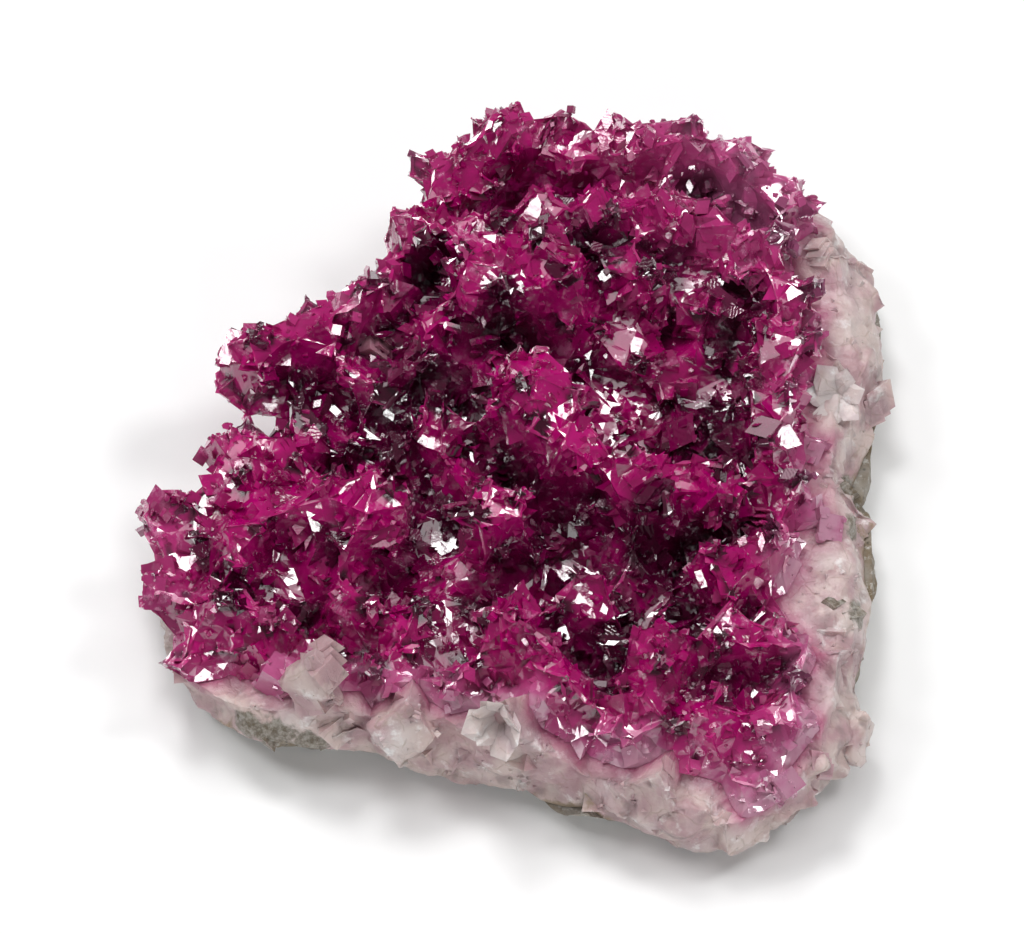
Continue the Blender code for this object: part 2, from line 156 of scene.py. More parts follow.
class Board:
    """Adds nodes to one node tree, of either kind."""

    def __init__(self, tree: bpy.types.NodeTree) -> None:
        """Starts on an empty or filled tree."""
        self.tree = tree

    def add(
        self, kind: str, settings: dict | None = None, inputs: dict | None = None, output: str | int = 0
    ) -> Wire:
        """Adds one node.

        Args:
            kind: the node's type name.
            settings: its properties, set first.
            inputs: values or wires, by socket name or place.
            output: which output to return.

        Returns:
            The chosen output, or the first one.
        """
        node = self.tree.nodes.new(kind)
        for name, value in (settings or {}).items():
            setattr(node, name, value)
        self.feed(node, inputs or {})
        return Wire(self, self.pick(node.outputs, output) if len(node.outputs) else None)

    def feed(self, node: bpy.types.Node, inputs: dict) -> None:
        """Sets or links a node's inputs.

        Args:
            node: the node.
            inputs: wires or constants, by socket name or place.
        """
        for key, value in inputs.items():
            socket = self.pick(node.inputs, key)
            if isinstance(value, Wire):
                self.tree.links.new(value.socket, socket)
            else:
                socket.default_value = value

    @staticmethod
    def pick(sockets: bpy.types.bpy_prop_collection, key: str | int) -> bpy.types.NodeSocket:
        """Finds a socket among those that the node's settings leave on.

        Args:
            sockets: the node's inputs or outputs.
            key: its name, or its place among the enabled ones.

        Returns:
            The socket.
        """
        enabled = [socket for socket in sockets if socket.enabled]
        if isinstance(key, int):
            return enabled[key]
        return next(socket for socket in enabled if socket.name == key)

    def attribute(self, name: str, vector: bool = False) -> Wire:
        """A named attribute in a shader, as a vector or a value."""
        settings = {"attribute_name": name}
        return self.add("ShaderNodeAttribute", settings, None, "Vector" if vector else "Fac")

    def clouds(self, place: Wire, size: float, detail: float = 3.0, roughness: float = 0.55) -> Wire:
        """Noise from 0 to 1 in patches of a size, with finer layers: how many and how strong."""
        inputs = {"Vector": place, "Scale": 1 / size, "Detail": detail, "Roughness": roughness}
        return self.add("ShaderNodeTexNoise", {"noise_dimensions": "3D"}, inputs, 0)

    def cells(self, place: Wire, size: float, feature: str = "F1") -> Wire:
        """The distance that is measured in each cell of a Voronoi pattern with cells of a size."""
        inputs = {"Vector": place, "Scale": 1 / size}
        return self.add("ShaderNodeTexVoronoi", {"feature": feature}, inputs, "Distance")

    def blend(self, factor: Wire | float, first: object, second: object) -> Wire:
        """Mixes two colours.

        Args:
            factor: how much of the second.
            first: a colour or wire.
            second: a colour or wire.

        Returns:
            The mixed colour.
        """
        settings = {"data_type": "RGBA", "blend_type": "MIX", "clamp_factor": True}
        full = {"Factor": factor, "A": self.colour(first), "B": self.colour(second)}
        return self.add("ShaderNodeMix", settings, full, "Result")

    @staticmethod
    def colour(value: object) -> object:
        """A three-number colour with its alpha added; a wire is left as it is."""
        return value if isinstance(value, Wire) else (*value, 1.0)

    def bump(self, height: Wire, strength: float, distance: float, under: Wire | None = None) -> Wire:
        """Adds relief.

        Args:
            height: the height, from 0 to 1.
            strength: how much of it shows.
            distance: the real height of 1, in metres.
            under: a normal that it is added to.

        Returns:
            The bent normal.
        """
        inputs = {"Height": height, "Strength": strength, "Distance": distance}
        if under is not None:
            inputs["Normal"] = under
        return self.add("ShaderNodeBump", {}, inputs, "Normal")


def new_material(name: str) -> tuple[bpy.types.Material, Board, bpy.types.Node]:
    """Makes a material with one Principled shader.

    Args:
        name: the material's name.

    Returns:
        The material, a board on its tree and the shader node.
    """
    material = bpy.data.materials.new(name)
    material.use_nodes = True
    shader = material.node_tree.nodes["Principled BSDF"]
    return material, Board(material.node_tree), shader


def shown(name: str, data: bpy.types.ID) -> bpy.types.Object:
    """An object with the given data, at the scene's origin."""
    obj = bpy.data.objects.new(name, data)
    bpy.context.scene.collection.objects.link(obj)
    return obj


def meshed(shape: bmesh.types.BMesh, name: str) -> bpy.types.Mesh:
    """A mesh made from a shape, which is freed."""
    mesh = bpy.data.meshes.new(name)
    shape.to_mesh(mesh)
    shape.free()
    return mesh


def collection(name: str) -> bpy.types.Collection:
    """A new, empty collection in the scene."""
    made = bpy.data.collections.new(name)
    bpy.context.scene.collection.children.link(made)
    return made


def limited(value: float, least: float = 0.0) -> float:
    """The value kept between the least and 1."""
    return min(max(value, least), 1.0)


@dataclass(frozen=True)
class DruseFinish:
    """Glassy magenta crystal with painted shade in the valleys, a painted grey sheen on some faces, and
    paler towards the rim.
    """

    name: str = "roselite crystal"
    painted_shade: tuple = (0.065, 0.0, 0.020)
    deep_and_shade: tuple = (0.24, 0.0, 0.07)
    bright: tuple = (0.70, 0.002, 0.24)
    dusty: tuple = (0.74, 0.19, 0.42)
    blush: tuple = (0.86, 0.60, 0.68)
    frost: tuple = (0.86, 0.40, 0.62)
    painted_sheen: tuple = (0.34, 0.13, 0.20)
    transmission: float = 0.35
    ior: float = 1.75
    coat: float = 0.6
    coat_ior: float = 1.6

    def material(self) -> bpy.types.Material:
        """Builds the material.

        Returns:
            The material.
        """
        material, board, shader = new_material(self.name)
        place = board.add("ShaderNodeTexCoord", None, None, "Object")
        grain = board.attribute("grain", vector=True)
        tone, pale, deep_and_shade, side = (board.attribute(name) for name in ("tone", "pale", "deep_and_shade", "side"))
        veil = board.clouds(place, 1.6 * MM, 4.0)
        # The tone here is partly random and partly painted shade, being lower where the crust is
        # sheltered.
        colour = board.blend((tone * 0.75 + veil * 0.8 - 0.25).clamped(), self.deep_and_shade, self.bright)
        # Painted shade: the colour goes toward a near-black where the crust shuts off the sky and in the
        # listed hollows.
        colour = board.blend(deep_and_shade.ramp(0.34, 0.86) * 0.95, colour, self.painted_shade)
        faded = (pale * 0.95 + (veil - 0.5) * 0.6 * pale).clamped()
        colour = board.blend(faded, colour, self.dusty)
        colour = board.blend(faded.ramp(0.75, 1.0) * 0.5, colour, self.blush)
        # Painted sheen: a mauve-grey tint on a random share of faces stands in for faces that reflect the
        # studio light, with less of it in the painted shade.
        film_and_sheen = side.ramp(0.86, 0.90) * (1.0 - deep_and_shade * 0.6)
        colour = board.blend(film_and_sheen * 0.4, colour, self.painted_sheen)
        frosted = board.clouds(place, 2.6 * MM, 5.0, 0.7).ramp(0.55, 0.68) * (1.0 - deep_and_shade).clamped()
        colour = board.blend(frosted * 0.5, colour, self.frost)
        bands = board.add("ShaderNodeSeparateXYZ", None, {"Vector": grain}, "Z")
        ripple = board.clouds(grain, 0.5, 2.0)
        steps = (bands * 34.0 + ripple * 9.0).sine() * 0.5 + 0.5
        normal = board.bump(steps, 0.16, 0.05 * MM)
        normal = board.bump(board.clouds(place, 0.5 * MM, 3.0), 0.30, 0.10 * MM, normal)
        rough = 0.05 + frosted * 0.30 + board.clouds(place, 0.9 * MM, 2.0).ramp(0.45, 0.75) * 0.12
        board.feed(shader, {
            "Base Color": colour, "Roughness": rough, "Normal": normal, "IOR": self.ior,
            "Transmission Weight": self.transmission, "Coat Weight": self.coat, "Coat IOR": self.coat_ior,
            "Coat Roughness": 0.03,
        })
        return material


@dataclass(frozen=True)
class CalciteFinish:
    """Milky, half-clear calcite, pinkish grey, flushed with magenta where it meets the druse."""

    name: str = "pale calcite"
    cream: tuple = (0.62, 0.50, 0.47)
    pinkish: tuple = (0.47, 0.30, 0.32)
    glassy: tuple = (0.27, 0.20, 0.20)
    white: tuple = (0.86, 0.82, 0.81)
    flushed: tuple = (0.40, 0.09, 0.19)
    stain: tuple = (0.30, 0.22, 0.14)
    umber: tuple = (0.13, 0.10, 0.065)
    ash: tuple = (0.38, 0.35, 0.31)
    translucency: float = 0.30
    ior: float = 1.6

    def material(self) -> bpy.types.Material:
        """Builds the material.

        Returns:
            The material.
        """
        material, board, shader = new_material(self.name)
        place = board.add("ShaderNodeTexCoord", None, None, "Object")
        tone, flush, low, film_and_sheen = (board.attribute(name) for name in ("tone", "flush", "low", "film_and_sheen"))
        patches = board.clouds(place, 5.0 * MM, 4.0)
        fine = board.clouds(place, 1.3 * MM, 5.0, 0.65)
        colour = board.blend(patches.ramp(0.38, 0.60), self.pinkish, self.cream)
        windows = board.clouds(place, 3.4 * MM, 3.0, 0.5).ramp(0.54, 0.66) * (1.0 - tone * 0.7)
        colour = board.blend(windows * 0.75, colour, self.glassy)
        milky = board.clouds(place, 2.4 * MM, 5.0, 0.65).ramp(0.54, 0.72)
        colour = board.blend((milky * 0.8 + (tone - 0.5) * 0.6).clamped(), colour, self.white)
        bent = place.vector("ADD", board.add("ShaderNodeTexNoise", None, {
            "Vector": place, "Scale": 1 / (3.0 * MM)}, 1).vector("SCALE", 1.6 * MM))
        joint = board.cells(bent, 3.6 * MM, "DISTANCE_TO_EDGE").ramp(0.035, 0.0) * fine.ramp(0.40, 0.55)
        colour = board.blend(joint * 0.28, colour, self.stain)
        smoky = (low + (fine - 0.5) * 1.4).ramp(0.50, 0.90)
        colour = board.blend(smoky * 0.85, colour, self.stain)
        colour = board.blend((flush + (fine - 0.5) * 1.4 * flush).clamped(), colour, self.flushed)
        specks = board.clouds(place, 0.7 * MM, 5.0, 0.7).ramp(0.36, 0.68)
        rocky = board.blend(specks, self.umber, self.ash)
        colour = board.blend((film_and_sheen + (fine - 0.5) * 1.2).ramp(0.40, 0.70), colour, rocky)
        normal = board.bump(fine, 0.7, 0.35 * MM)
        normal = board.bump(board.cells(place, 1.1 * MM), 0.45, 0.20 * MM, normal)
        normal = board.bump(joint, 0.3, -0.20 * MM, normal)
        rough = 0.16 + board.clouds(place, 0.7 * MM, 3.0) * 0.40
        board.feed(shader, {
            "Base Color": colour, "Roughness": rough, "Normal": normal, "IOR": self.ior,
            "Subsurface Weight": self.translucency, "Subsurface Radius": (1.0, 0.75, 0.7),
            "Subsurface Scale": 1.6 * MM,
        })
        return material


@dataclass(frozen=True)
class RockFinish:
    """Rough grey-brown rock with dark and rusty specks."""

    name: str = "host rock"
    grey: tuple = (0.34, 0.31, 0.27)
    brown: tuple = (0.20, 0.15, 0.09)
    dark: tuple = (0.045, 0.04, 0.035)
    chalky: tuple = (0.58, 0.56, 0.53)
    ior: float = 1.5

    def material(self) -> bpy.types.Material:
        """Builds the material.

        Returns:
            The material.
        """
        material, board, shader = new_material(self.name)
        place = board.add("ShaderNodeTexCoord", None, None, "Object")
        broad = board.clouds(place, 6.0 * MM, 5.0, 0.6)
        fine = board.clouds(place, 1.3 * MM, 6.0, 0.7)
        colour = board.blend(broad.ramp(0.4, 0.62), self.grey, self.brown)
        colour = board.blend(fine.ramp(0.52, 0.66), colour, self.chalky)
        specks = board.cells(place, 0.9 * MM).ramp(0.35, 0.1) * fine.ramp(0.55, 0.4)
        colour = board.blend(specks, colour, self.dark)
        normal = board.bump(fine, 0.8, 0.4 * MM)
        rough = 0.62 + fine * 0.3
        board.feed(shader, {"Base Color": colour, "Roughness": rough, "Normal": normal, "IOR": self.ior})
        return material


class Habit(Enum):
    """The shapes that single crystals take."""

    RHOMB = "rhomb"
    STEPPED = "stepped rhomb"
    TOOTH = "dog-tooth"
    BLADE = "blade"
    SHEAF = "sheaf of plates"


@dataclass
class CrystalSet:
    """A few crystals of each habit, about 1 wide, sunk into their bed where rooted is below 0."""

    name: str
    habits: tuple
    variants: int
    seed: int
    rooted: float
    collection: bpy.types.Collection = field(init=False)

    def build(self) -> None:
        """Makes the crystals, in a collection of their own."""
        rng = random.Random(self.seed)
        self.collection = collection(self.name)
        for habit in self.habits:
            for number in range(self.variants):
                shape = bmesh.new()
                self.fill(shape, habit, rng)
                self.finish(shape, f"{self.name} {habit.value} {number}")

    def fill(self, shape: bmesh.types.BMesh, habit: Habit, rng: random.Random) -> None:
        """Adds one crystal.

        Args:
            shape: the mesh to add it to.
            habit: its shape.
            rng: the source of its unevenness.
        """
        steep = rng.uniform(1.0, 1.5)
        if habit is Habit.RHOMB:
            self.rhomb(shape, Vector((0, 0, 0)), 1.0, steep, (rng.uniform(0.75, 1.1), 1.0))
        elif habit is Habit.STEPPED:
            lean = Vector((rng.uniform(-0.12, 0.12), rng.uniform(0.06, 0.2), -0.10))
            for step in range(3):
                size = 1.0 - 0.17 * step
                self.rhomb(shape, lean * step * 1.4, size, steep, (0.9 + 0.12 * step, 1.0 - 0.14 * step))
        elif habit is Habit.BLADE:
            self.rhomb(shape, Vector((0, 0, 0)), 1.1, steep * 1.2, (rng.uniform(0.3, 0.45), 1.0))
        elif habit is Habit.SHEAF:
            for plate in range(5):
                side = 1.05 - 0.13 * abs(plate - 1) * rng.uniform(0.8, 1.3)
                offset = Vector(((plate - 2) * 0.16, rng.uniform(-0.05, 0.05), -0.06 * abs(plate - 2)))
                self.rhomb(shape, offset, side, steep, (0.16, 0.9))
        else:
            self.tooth(shape, rng)

    @staticmethod
    def rhomb(
        shape: bmesh.types.BMesh, place: Vector, width: float, steep: float, uneven: tuple
    ) -> list[bmesh.types.BMVert]:
        """Adds a cube stood on its corner and stretched.

        Args:
            shape: the mesh to add it to.
            place: its middle.
            width: its width.
            steep: its stretch along its upright diagonal.
            uneven: its stretch across and along.

        Returns:
            Its corners.
        """
        corner_up = Vector((1, 1, 1)).rotation_difference(Vector((0, 0, 1))).to_matrix().to_4x4()
        stretch = Matrix.Diagonal((uneven[0], uneven[1], steep, 1.0))
        matrix = Matrix.Translation(place) @ stretch @ corner_up
        return bmesh.ops.create_cube(shape, size=width / math.sqrt(2), matrix=matrix)["verts"]

    @staticmethod
    def tooth(shape: bmesh.types.BMesh, rng: random.Random) -> None:
        """Adds a steep six-sided crystal with a zigzag waist.

        Args:
            shape: the mesh to add it to.
            rng: the source of its unevenness.
        """
        lift = Matrix.Translation((0, 0, 0.55))
        sizes = {"segments": 6, "radius1": 0.5, "radius2": 0.0, "depth": 1.1}
        made = bmesh.ops.create_cone(shape, matrix=lift, **sizes)["verts"]
        for number, vert in enumerate(vert for vert in made if vert.co.z < 0.1):
            vert.co.z += 0.14 if number % 2 else -0.14
            vert.co *= rng.uniform(0.85, 1.1)
        bases = [face for face in shape.faces if len(face.verts) > 3]
        bmesh.ops.delete(shape, geom=bases, context="FACES_ONLY")
        rim = [edge for edge in shape.edges if edge.is_boundary]
        low = bmesh.ops.extrude_edge_only(shape, edges=rim)["geom"]
        bottom = [item for item in low if isinstance(item, bmesh.types.BMVert)]
        bmesh.ops.pointmerge(shape, verts=bottom, merge_co=Vector((0, 0, -0.8)))

    def finish(self, shape: bmesh.types.BMesh, name: str) -> None:
        """Makes an object that keeps its coordinates as "grain" and a lot for each face as "side".

        Args:
            shape: the mesh, which is freed.
            name: the object's name.
        """
        bmesh.ops.translate(shape, vec=(0, 0, self.rooted), verts=shape.verts)
        bmesh.ops.recalc_face_normals(shape, faces=shape.faces)
        mesh = meshed(shape, name)
        store(mesh, "grain", [vert.co.copy() for vert in mesh.vertices], "FLOAT_VECTOR")
        rng = random.Random(name)
        store(mesh, "side", [rng.random() for _ in mesh.polygons], domain="FACE")
        self.collection.objects.link(bpy.data.objects.new(name, mesh))

    def discard(self) -> None:
        """Removes the crystals once everything is grown."""
        for obj in list(self.collection.objects):
            bpy.data.objects.remove(obj)
        bpy.data.collections.remove(self.collection)


class GrowthTree:
    """The Geometry Nodes tree that grows crystals over a bed and what has grown on it already."""

    # How far above its point a ray starts that looks for what has grown there, and how far it looks.
    LIFT = 0.03 * MM
    LOOK_OUT = 6.0 * MM
    # How many points are tried for each square of the spacing.
    CROWDING = 1.4
    # How much less a crystal is knocked off line where it stands like the one under it.
    PARALLEL_HOLD = 0.85
    # The lower end of the clouds that make the patches, their stretch and the sharpness of the edges.
    CLOUD_LOW, CLOUD_STRETCH, PATCH_EDGE = 0.30, 2.5, 8.0
    SOCKETS = {
        "Collection": ("Crystals", "Earlier growth"),
        "Float": (
            "Spacing", "Smallest", "Largest", "Tilt", "Spin", "Follow lump", "Parallel", "Bare share",
            "Patch size", "Reach",
        ),
        "Int": ("Seed",),
        "Material": ("Finish",),
    }

    def __init__(self) -> None:
        """Builds the tree once; each layer uses it with its own values."""
        self.tree = bpy.data.node_groups.new("grow crystals", "GeometryNodeTree")
        face = self.tree.interface
        face.new_socket(name="Bed", in_out="INPUT", socket_type="NodeSocketGeometry")
        for kind, names in self.SOCKETS.items():
            for name in names:
                face.new_socket(name=name, in_out="INPUT", socket_type=f"NodeSocket{kind}")
        face.new_socket(name="Growth", in_out="OUTPUT", socket_type="NodeSocketGeometry")
        self.board = Board(self.tree)
        self.source = self.tree.nodes.new("NodeGroupInput")
        self.fill()

    def given(self, name: str) -> Wire:
        """One of the tree's inputs."""
        return Wire(self.board, self.source.outputs[name])

    def named(self, name: str, kind: str = "FLOAT") -> Wire:
        """A named attribute of what the field is read on."""
        settings, inputs = {"data_type": kind}, {"Name": name}
        return self.board.add("GeometryNodeInputNamedAttribute", settings, inputs, "Attribute")

    def spread(self, low: float, high: float, offset: int) -> Wire:
        """A random value for each point; the offset sets it apart from the tree's other ones."""
        inputs = {"Min": low, "Max": high, "Seed": self.given("Seed") + float(offset)}
        return self.board.add("FunctionNodeRandomValue", {"data_type": "FLOAT"}, inputs)

    def host(self) -> Wire:
        """The bed joined with what has grown on it."""
        settings, inputs = {"transform_space": "ORIGINAL"}, {"Collection": self.given("Earlier growth")}
        earlier = self.board.add("GeometryNodeCollectionInfo", settings, inputs)
        earlier = self.board.add("GeometryNodeRealizeInstances", None, {"Geometry": earlier})
        node = self.tree.nodes.new("GeometryNodeJoinGeometry")
        for wire in (self.given("Bed"), earlier):
            self.tree.links.new(wire.socket, node.inputs[0])
        return Wire(self.board, node.outputs[0])

    def fill(self) -> None:
        """Lays out the nodes: scatter, drop what is buried or far out, turn, size, place and dress."""
        board, spacing = self.board, self.given("Spacing")
        host, place = self.host(), board.add("GeometryNodeInputPosition")
        spots = board.add("GeometryNodeDistributePointsOnFaces", {"distribute_method": "POISSON"}, {
            "Mesh": host, "Selection": self.named("open") > 0.5, "Distance Min": spacing,
            "Density Max": self.CROWDING / (spacing * spacing), "Density Factor": self.patches(place),
            "Seed": self.given("Seed"),
        })
        scatter = spots.socket.node
        normal = Wire(board, scatter.outputs["Normal"])
        lot = self.spread(0.0, 1.0, offset=14)
        width = self.given("Smallest") + (self.given("Largest") - self.given("Smallest")) * lot * lot
        crystals = board.add("GeometryNodeCollectionInfo", {"transform_space": "ORIGINAL"}, {
            "Collection": self.given("Crystals"), "Separate Children": True, "Reset Children": True,
        })
        grown = board.add("GeometryNodeInstanceOnPoints", None, {
            "Points": spots, "Selection": self.kept(host, place, normal), "Instance": crystals,
            "Pick Instance": True, "Rotation": self.facing(Wire(board, scatter.outputs["Rotation"])),
            "Scale": width * self.named("room"),
        })
        # On the druse, the bed's tone also carries painted shade from how sheltered the bed is.
        tone = self.named("tone") * 0.5 + self.spread(-0.1, 0.6, offset=15)
        turn = board.add("GeometryNodeInputInstanceRotation")
        for name, value in (("tone", tone), ("open", 1.0), ("grown", 1.0), ("turn", turn)):
            kind = "QUATERNION" if name == "turn" else "FLOAT"
            settings = {"data_type": kind, "domain": "INSTANCE"}
            inputs = {"Geometry": grown, "Name": name, "Value": value}
            grown = board.add("GeometryNodeStoreNamedAttribute", settings, inputs)
        grown = board.add("GeometryNodeRealizeInstances", None, {"Geometry": grown})
        dressed = {"Geometry": grown, "Material": self.given("Finish")}
        grown = board.add("GeometryNodeSetMaterial", None, dressed)
        board.add("NodeGroupOutput", None, {"Growth": grown})

    def kept(self, host: Wire, place: Wire, normal: Wire) -> Wire:
        """Which points are neither inside what has grown already nor too far from the bed.

        Args:
            host: the bed with what has grown on it.
            place: the points' position.
            normal: the host's normal at them.

        Returns:
            Whether a point is kept.
        """
        board = self.board
        hit = board.add("GeometryNodeRaycast", None, {
            "Target Geometry": host, "Ray Direction": normal, "Ray Length": self.LOOK_OUT,
            "Source Position": place.vector("ADD", normal.vector("SCALE", self.LIFT)),
        }, "Is Hit")
        struck = Wire(board, hit.socket.node.outputs["Hit Normal"])
        from_inside = {0: hit, 1: struck.dot(normal) > 0.0}
        buried = board.add("FunctionNodeBooleanMath", {"operation": "AND"}, from_inside)
        height = board.add("GeometryNodeProximity", None, {"Geometry": self.given("Bed")}, "Distance")
        either = {0: buried, 1: height > self.given("Reach")}
        return board.add("FunctionNodeBooleanMath", {"operation": "NOR"}, either)

    def facing(self, turned: Wire) -> Wire:
        """Which way each crystal stands: along the normal or its lump, or like the one under it.

        Args:
            turned: the rotation that stands it along the normal.

        Returns:
            Its rotation, knocked off line at random.
        """
        board = self.board
        along = board.add("FunctionNodeAlignRotationToVector", {"axis": "Z"}, {
            "Rotation": turned, "Factor": self.given("Follow lump"),
            "Vector": self.named("out", "FLOAT_VECTOR"),
        })
        parallel = self.named("grown") * self.given("Parallel")
        along = board.add("GeometryNodeSwitch", {"input_type": "ROTATION"}, {
            "Switch": parallel > 0.5, "False": along, "True": self.named("turn", "QUATERNION"),
        })
        loose = 1.0 - parallel * self.PARALLEL_HOLD
        tilt, spin = self.given("Tilt") * loose, self.given("Spin") * loose
        knock = board.add("ShaderNodeCombineXYZ", None, {
            "X": self.spread(-1.0, 1.0, offset=11) * tilt,
            "Y": self.spread(-1.0, 1.0, offset=12) * tilt,
            "Z": self.spread(-1.0, 1.0, offset=13) * spin,
        })
        knock = board.add("FunctionNodeEulerToRotation", None, {"Euler": knock})
        both = {"Rotation": along, "Rotate By": knock}
        return board.add("FunctionNodeRotateRotation", {"rotation_space": "LOCAL"}, both)

    def patches(self, place: Wire) -> Wire:
        """Where the layer grows: 1 inside its patches and 0 on the bare share between them.

        Args:
            place: the position.

        Returns:
            The factor on its density.
        """
        inputs = {"Vector": place, "Scale": 1.0 / self.given("Patch size"), "Detail": 2.0}
        cloud = self.board.add("ShaderNodeTexNoise", None, inputs, 0)
        spare = (cloud - self.CLOUD_LOW) * self.CLOUD_STRETCH - self.given("Bare share")
        return (spare * self.PATCH_EDGE + 0.5).clamped()


@dataclass
class Layer:
    """One generation of crystals. Widths and spacing are in millimetres, angles in degrees."""

    name: str
    crystals: CrystalSet
    spacing: float
    smallest: float
    largest: float
    tilt: float
    spin: float
    follow_lump: float
    seed: int
    parallel: float = 0.0
    bare_share: float = -1.0
    patch: float = 4.0
    reach: float = 2.0

    def grow(
        self,
        tree: GrowthTree,
        bed: bpy.types.Object,
        earlier: bpy.types.Collection,
        finish: bpy.types.Material,
    ) -> bpy.types.Object:
        """Grows the layer and makes it a plain mesh.

        Args:
            tree: the node tree that does it.
            bed: what it grows on.
            earlier: the layers already there.
            finish: the crystals' material.

        Returns:
            The layer's own object, at the origin.
        """
        source = shown(self.name, bed.data)
        modifier = source.modifiers.new("grow", "NODES")
        modifier.node_group = tree.tree
        values = {
            "Crystals": self.crystals.collection, "Earlier growth": earlier, "Spacing": self.spacing * MM,
            "Smallest": self.smallest * MM, "Largest": self.largest * MM, "Tilt": math.radians(self.tilt),
            "Spin": math.radians(self.spin), "Follow lump": self.follow_lump, "Parallel": self.parallel,
            "Bare share": self.bare_share, "Patch size": self.patch * MM, "Seed": self.seed,
            "Reach": self.reach * MM, "Finish": finish,
        }
        for item in tree.tree.interface.items_tree:
            if item.name in values:
                modifier[item.identifier] = values[item.name]
        bpy.context.view_layer.update()
        evaluated = source.evaluated_get(bpy.context.evaluated_depsgraph_get())
        mesh = bpy.data.meshes.new_from_object(evaluated)
        bpy.data.objects.remove(source)
        mesh.name = self.name
        return shown(self.name, mesh)


def grow_all(
    tree: GrowthTree, bed: bpy.types.Object, layers: tuple, finish: bpy.types.Material, stacked: bool
) -> list[bpy.types.Object]:
    """Grows layers in order over a bed.

    Args:
        tree: the node tree that does it.
        bed: what they grow on.
        layers: the layers.
        finish: the crystals' material.
        stacked: whether each layer also grows on the ones before it.

    Returns:
        The bed and the layers' pieces.
    """
    sets = {layer.crystals.name: layer.crystals for layer in layers}.values()
    for crystals in sets:
        crystals.build()
    earlier = collection("earlier growth")
    pieces = [bed]
    for layer in layers:
        pieces.append(layer.grow(tree, bed, earlier, finish))
        if stacked:
            earlier.objects.link(pieces[-1])
    bpy.data.collections.remove(earlier)
    for crystals in sets:
        crystals.discard()
    return pieces


def facet_height(place: Vector, wide: float, tall: float) -> float:
    """The height of a lumpy surface of soft facets that meet in creases.

    Args:
        place: where on the surface.
        wide: the width of a lump, in millimetres.
        tall: its height, in millimetres.

    Returns:
        The height, in metres.
    """
    spot = place / (wide * MM)
    heights = []
    for seed in noise.voronoi(spot)[1]:
        # Each cell is a facet that leans its own way, falls off from its middle and has its own level.
        away = spot - seed
        lean, level = noise.noise_vector(seed * 3.7), noise.noise(seed * 5.3)
        heights.append(1.7 * away.dot(lean) - 0.7 * away.length_squared + 0.4 * level)
    return max(heights) * tall * MM


@dataclass
class Bed:
    """A finer copy of a solid, with relief along its normals except where it lies against a neighbour.

    Lengths are in millimetres, angles in degrees. Edges over the longest are halved, up to three times,
    and the surface moves inwards by the inset. Relief and facets are pairs of width and height. Rounding
    is how often the corners are softened, and sharp is the angle from which an edge then stays hard. A
    point nearer a neighbour than held moves out by the overlap, and one past the easing is free. An
    inside bed has to stay inside the solid, by the depth where it would come out.
    """

    node: str
    name: str
    longest: float
    relief: tuple
    inset: float
    facets: tuple = ()
    rounding: int = 0
    inside: bool = False
    held: float = 0.4
    easing: float = 1.4
    overlap: float = 0.12
    depth: float = 0.1
    sharp: float = 24.0

    def build(self, beside: tuple) -> bpy.types.Object:
        """Makes the copy.

        Args:
            beside: search trees of the neighbours.

        Returns:
            The copy.
        """
        shape = bmesh.new()
        shape.from_mesh(frame["nodes"][self.node].data)
        bmesh.ops.remove_doubles(shape, verts=shape.verts, dist=1e-7)
        for _ in range(3):
            long_edges = [edge for edge in shape.edges if edge.calc_length() > self.longest * MM]
            bmesh.ops.subdivide_edges(shape, edges=long_edges, cuts=1)
            bmesh.ops.triangulate(shape, faces=[face for face in shape.faces if len(face.verts) > 3])
        gaps = [min(tree.find_nearest(vert.co)[3] for tree in beside) / MM for vert in shape.verts]
        free = [limited((gap - self.held) / self.easing) for gap in gaps]
        loose = [vert for vert, share in zip(shape.verts, free) if share > 0.5]
        axes = {"use_axis_x": True, "use_axis_y": True, "use_axis_z": True}
        for _ in range(self.rounding):
            bmesh.ops.smooth_vert(shape, verts=loose, factor=0.5, **axes)
        shape.normal_update()
        skin = tree_of(frame["nodes"][self.node])
        moves = [self.moved(vert, share, skin) for vert, share in zip(shape.verts, free)]
        for vert, place in zip(shape.verts, moves):
            on_cut = vert.co.z < 1e-5
            vert.co = place
            vert.co.z = 0.0 if on_cut else max(vert.co.z, 0.0)
        mesh = meshed(shape, self.name)
        if self.rounding:
            mesh.shade_smooth()
            mesh.set_sharp_from_angle(angle=math.radians(self.sharp))
        return shown(self.name, mesh)

    def moved(self, vert: bmesh.types.BMVert, share: float, skin: BVHTree) -> Vector:
        """Where a point goes.

        Args:
            vert: the point.
            share: 0 for one that lies against a neighbour, to 1 for a free one.
            skin: search tree of the solid.

        Returns:
            Its new place.
        """
        height = sum(tall * MM * noise.noise(vert.co / (wide * MM)) for wide, tall in self.relief)
        height -= self.inset * MM
        height += sum(facet_height(vert.co, wide, tall) for wide, tall in self.facets)
        place = vert.co + vert.normal * (height * share + self.overlap * MM * (1.0 - share))
        if self.inside and share > 0.5:
            near, facing = skin.find_nearest(place)[:2]
            if (place - near).dot(facing) > 0.0:
                place = near - facing * self.depth * MM
        return place


def tree_of(obj: bpy.types.Object) -> BVHTree:
    """A search tree over an object's faces."""
    corners = [vert.co for vert in obj.data.vertices]
    return BVHTree.FromPolygons(corners, [face.vertices[:] for face in obj.data.polygons])


def store(
    mesh: bpy.types.Mesh, name: str, values: list, kind: str = "FLOAT", domain: str = "POINT"
) -> None:
    """Keeps values on a mesh as a named attribute.

    Args:
        mesh: the mesh.
        name: the attribute's name.
        values: one number or vector for each point or face.
        kind: its data type.
        domain: POINT or FACE.
    """
    layer = mesh.attributes.new(name, kind, domain)
    flat = [number for value in values for number in value] if kind == "FLOAT_VECTOR" else values
    layer.data.foreach_set("vector" if kind == "FLOAT_VECTOR" else "value", flat)


